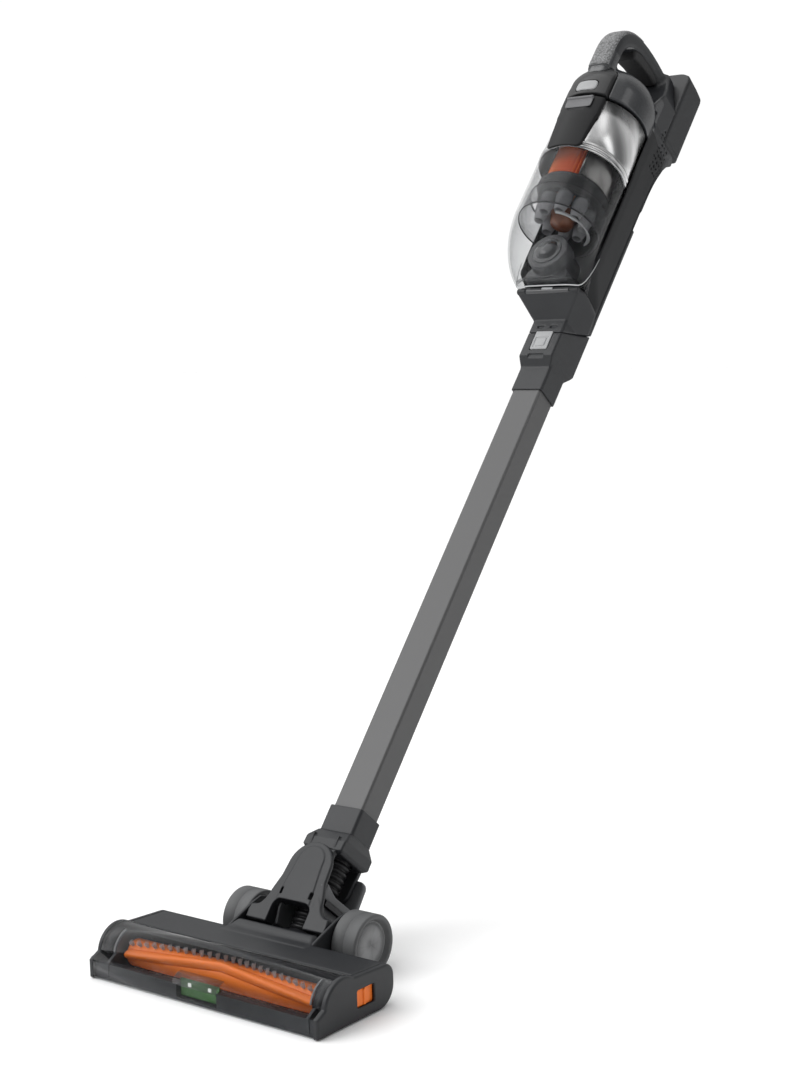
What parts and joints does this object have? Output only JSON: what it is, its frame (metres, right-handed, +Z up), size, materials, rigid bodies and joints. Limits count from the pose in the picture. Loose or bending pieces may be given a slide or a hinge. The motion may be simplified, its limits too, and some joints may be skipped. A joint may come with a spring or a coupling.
{
  "type": "cordless stick vacuum cleaner",
  "caption": "Cordless stick vacuum: clear-bowl hand unit with loop handle and battery, slim wand, swivelling neck and wide floor head with brush roll and wheels.",
  "frame": {"origin": "centre of the rubber strip in the floor head's sole, on the floor", "axes": "+X across the floor head towards the user's right as seen from the front, -Y to the front of the floor head, +Z up; the stick leans back towards +Y"},
  "size_m": [0.26, 0.8146, 0.8568],
  "materials": {
    "charcoal_plastic": "fine satin texture",
    "dark_plastic": "fine satin texture",
    "near_black_plastic": "satin",
    "gloss_black": "glossy",
    "grey_plastic": "satin",
    "grip_grey": "fine leather-like texture",
    "button_grey": "satin",
    "tube_grey": "satin, anodised",
    "clear_plastic": "clear, slightly smoked plastic",
    "silver": "polished",
    "steel": "turned",
    "orange": "satin",
    "bristle_grey": "nylon bristle",
    "rubber": "matt",
    "tyre_grey": "matt, soft tread",
    "hub_grey": "satin",
    "board_green": "lacquered board",
    "lamp_white": "bright",
    "cell_blue": "shrink film"
  },
  "bodies": {
    "hand_unit": {"body_left": "charcoal_plastic", "body_right": "charcoal_plastic", "rear_cover": "dark_plastic", "inlet_spigot": "dark_plastic", "control_panel": "gloss_black", "handle_grip": "grip_grey", "handle_pad": "rubber", "fan_motor": "steel", "control_board": "board_green", "side_vents": "near_black_plastic", "bowl_pin": "steel"},
    "power_button": {"power_button": "button_grey"},
    "fan": {"fan_impeller": "near_black_plastic"},
    "bowl": {"dust_bowl": "clear_plastic", "bowl_panel": "gloss_black", "bowl_band": "silver", "bowl_skirt": "clear_plastic", "filter": "orange", "filter_frame": "near_black_plastic", "inlet_duct": "near_black_plastic"},
    "bowl_latch": {"bowl_latch": "gloss_black"},
    "inlet_flap": {"inlet_flap": "gloss_black"},
    "battery": {"battery_case": "dark_plastic", "battery_cells": "cell_blue"},
    "battery_latch": {"battery_latch": "button_grey"},
    "wand": {"wand_tube": "tube_grey", "wand_connector": "charcoal_plastic", "wand_wires": "rubber"},
    "wand_button": {"wand_button": "button_grey"},
    "neck": {"neck_socket": "charcoal_plastic"},
    "yoke": {"yoke_front": "charcoal_plastic", "yoke_rear": "dark_plastic", "hose_clamp": "near_black_plastic", "swing_pins": "steel", "neck_hose": "near_black_plastic"},
    "head": {"nozzle_base": "dark_plastic", "nozzle_cover": "charcoal_plastic", "brush_window": "clear_plastic", "end_cap_left": "dark_plastic", "end_cap_right": "dark_plastic", "sole_strip": "rubber", "led_board": "board_green", "led_lamps": "lamp_white", "air_duct": "near_black_plastic", "brush_motor": "steel", "drive_belt": "rubber", "brush_bearings": "steel", "axle_pins": "steel", "head_hose": "near_black_plastic"},
    "wheel_left": {"wheel_left_tyre": "tyre_grey", "wheel_left_hub": "hub_grey"},
    "wheel_right": {"wheel_right_tyre": "tyre_grey", "wheel_right_hub": "hub_grey"},
    "rollers": {"sole_rollers": "near_black_plastic"},
    "brush": {"brush_core": "orange", "brush_fins": "orange", "brush_bristles": "bristle_grey", "brush_pulley": "near_black_plastic"},
    "motor_pinion": {"motor_pinion": "steel"},
    "brush_release": {"brush_release": "orange"}
  },
  "joints": [
    {"name": "power_press", "type": "slide", "parent": "hand_unit", "child": "power_button", "axis": [0, 0.766, -0.6428], "range_m": [0, 0.0012], "stiffness_N_per_m": 800},
    {"name": "fan_spin", "type": "hinge", "parent": "hand_unit", "child": "fan", "pos_m": [0, 0.60325, 0.77866], "axis": [0, 0.6428, 0.766], "continuous": true},
    {"name": "bowl_open", "type": "hinge", "parent": "hand_unit", "child": "bowl", "pos_m": [0, 0.47007, 0.58338], "axis": [1, 0, 0], "range_deg": [0, 35]},
    {"name": "bowl_latch_slide", "type": "slide", "parent": "bowl", "child": "bowl_latch", "axis": [0, -0.6428, -0.766], "range_m": [0, 0.003], "stiffness_N_per_m": 400},
    {"name": "inlet_flap_swing", "type": "hinge", "parent": "bowl", "child": "inlet_flap", "pos_m": [0, 0.48354, 0.64035], "axis": [-1, 0, 0], "range_deg": [0, 55]},
    {"name": "battery_slide", "type": "slide", "parent": "hand_unit", "child": "battery", "axis": [0, 0.6428, 0.766], "range_m": [0, 0.06]},
    {"name": "battery_latch_press", "type": "slide", "parent": "battery", "child": "battery_latch", "axis": [0, -0.766, 0.6428], "range_m": [0, 0.0014], "stiffness_N_per_m": 800},
    {"name": "wand_release", "type": "slide", "parent": "hand_unit", "child": "wand", "axis": [0, -0.6428, -0.766], "range_m": [0, 0.06]},
    {"name": "wand_button_press", "type": "slide", "parent": "wand", "child": "wand_button", "axis": [0, 0.766, -0.6428], "range_m": [0, 0.0012], "stiffness_N_per_m": 800},
    {"name": "neck_release", "type": "slide", "parent": "wand", "child": "neck", "axis": [0, -0.6428, -0.766], "range_m": [0, 0.04]},
    {"name": "yoke_swing", "type": "hinge", "parent": "neck", "child": "yoke", "pos_m": [0, 0.09021, 0.063], "axis": [0, -0.766, 0.6428], "range_deg": [-30, 30], "deforming": ["neck_hose"]},
    {"name": "head_tilt", "type": "hinge", "parent": "yoke", "child": "head", "pos_m": [0, 0.06, 0.027], "axis": [1, 0, 0], "range_deg": [-40, 45], "deforming": ["head_hose"]},
    {"name": "wheel_left_spin", "type": "hinge", "parent": "head", "child": "wheel_left", "pos_m": [-0.063, 0.06, 0.027], "axis": [1, 0, 0], "continuous": true},
    {"name": "wheel_right_spin", "type": "hinge", "parent": "head", "child": "wheel_right", "pos_m": [0.063, 0.06, 0.027], "axis": [1, 0, 0], "continuous": true},
    {"name": "rollers_spin", "type": "hinge", "parent": "head", "child": "rollers", "pos_m": [0, -0.013, 0.005], "axis": [1, 0, 0], "continuous": true},
    {"name": "brush_spin", "type": "hinge", "parent": "head", "child": "brush", "pos_m": [0, -0.045, 0.018], "axis": [1, 0, 0], "continuous": true},
    {"name": "motor_spin", "type": "hinge", "parent": "head", "child": "motor_pinion", "pos_m": [-0.118, -0.002, 0.02], "axis": [1, 0, 0], "continuous": true},
    {"name": "brush_release_slide", "type": "slide", "parent": "head", "child": "brush_release", "axis": [0, 1, 0], "range_m": [0, 0.005]}
  ],
  "couplings": [
    {"joint": "motor_spin", "follows": "brush_spin", "ratio": 2.4}
  ]
}
